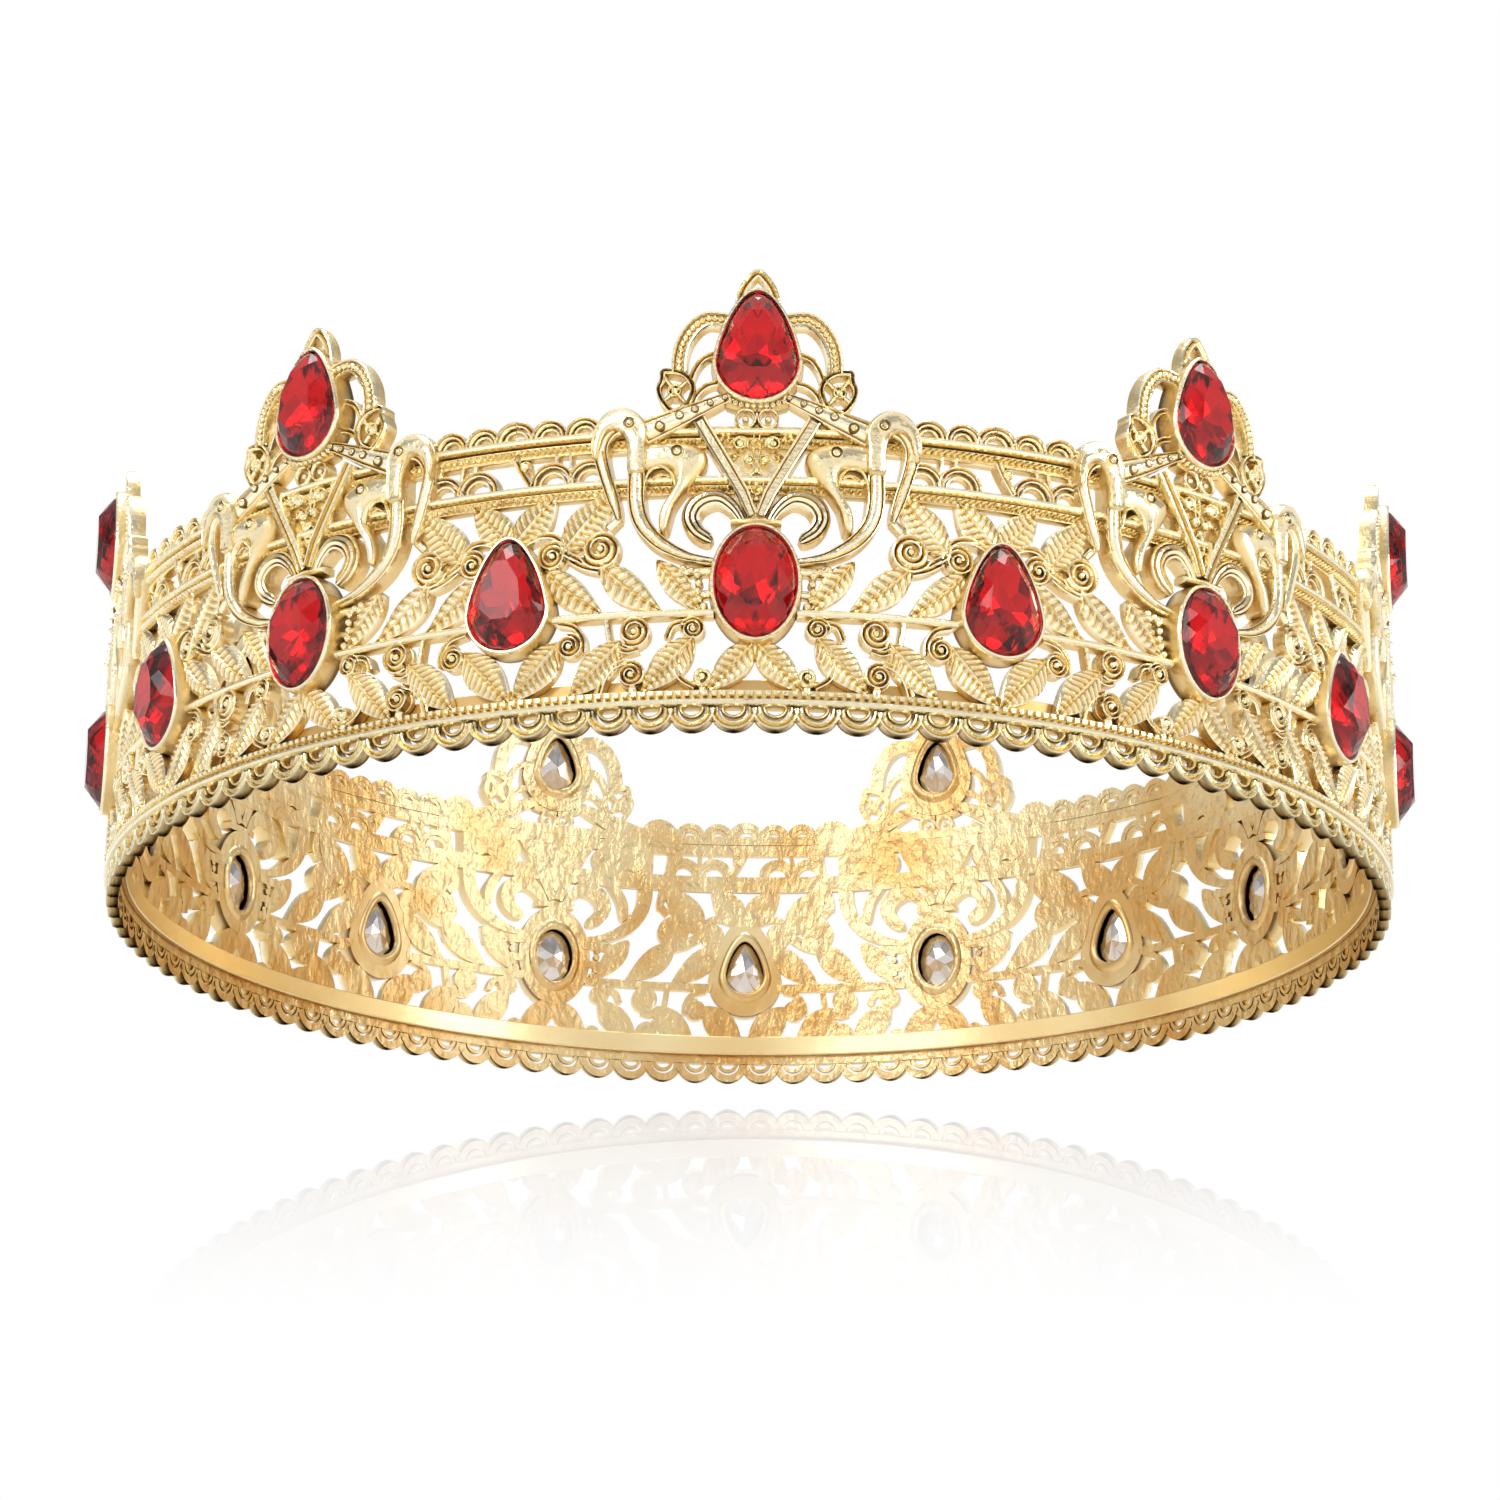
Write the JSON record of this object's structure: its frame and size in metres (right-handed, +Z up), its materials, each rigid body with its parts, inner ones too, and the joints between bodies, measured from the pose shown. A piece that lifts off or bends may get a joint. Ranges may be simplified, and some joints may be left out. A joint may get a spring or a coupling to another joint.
{
  "type": "crown",
  "caption": "Openwork metal crown: curved cast filigree panels with raised scroll crests and faceted glass stones, joined in a ring on a plain fitting band.",
  "frame": {"origin": "on the crown's axis, at the height of the scallop tips it stands on", "axes": "+Z up along the crown's axis, -Y towards the front panel, +X to the viewer's right"},
  "size_m": [0.1744, 0.1762, 0.058],
  "materials": {
    "cast_gold": "bright pale gold plating on a zinc casting, satin on the back",
    "setting_gold": "bright pale gold plating",
    "band_gold": "smooth polished gold plating",
    "red_glass": "faceted ruby red glass with a silver foiled back"
  },
  "bodies": {
    "root": {"inner_band": "band_gold", "cast_panel_1": "cast_gold", "cast_panel_2": "cast_gold", "cast_panel_3": "cast_gold", "cast_panel_4": "cast_gold", "cast_panel_5": "cast_gold", "cast_panel_6": "cast_gold", "cast_panel_7": "cast_gold", "cast_panel_8": "cast_gold", "cast_panel_9": "cast_gold", "link_setting_1": "setting_gold", "link_setting_2": "setting_gold", "link_setting_3": "setting_gold", "link_setting_4": "setting_gold", "link_setting_5": "setting_gold", "link_setting_6": "setting_gold", "link_setting_7": "setting_gold", "link_setting_8": "setting_gold", "link_setting_9": "setting_gold", "oval_stone_1": "red_glass", "oval_stone_2": "red_glass", "oval_stone_3": "red_glass", "oval_stone_4": "red_glass", "oval_stone_5": "red_glass", "oval_stone_6": "red_glass", "oval_stone_7": "red_glass", "oval_stone_8": "red_glass", "oval_stone_9": "red_glass", "crest_stone_1": "red_glass", "crest_stone_2": "red_glass", "crest_stone_3": "red_glass", "crest_stone_4": "red_glass", "crest_stone_5": "red_glass", "crest_stone_6": "red_glass", "crest_stone_7": "red_glass", "crest_stone_8": "red_glass", "crest_stone_9": "red_glass", "link_stone_1": "red_glass", "link_stone_2": "red_glass", "link_stone_3": "red_glass", "link_stone_4": "red_glass", "link_stone_5": "red_glass", "link_stone_6": "red_glass", "link_stone_7": "red_glass", "link_stone_8": "red_glass", "link_stone_9": "red_glass"}
  },
  "joints": []
}
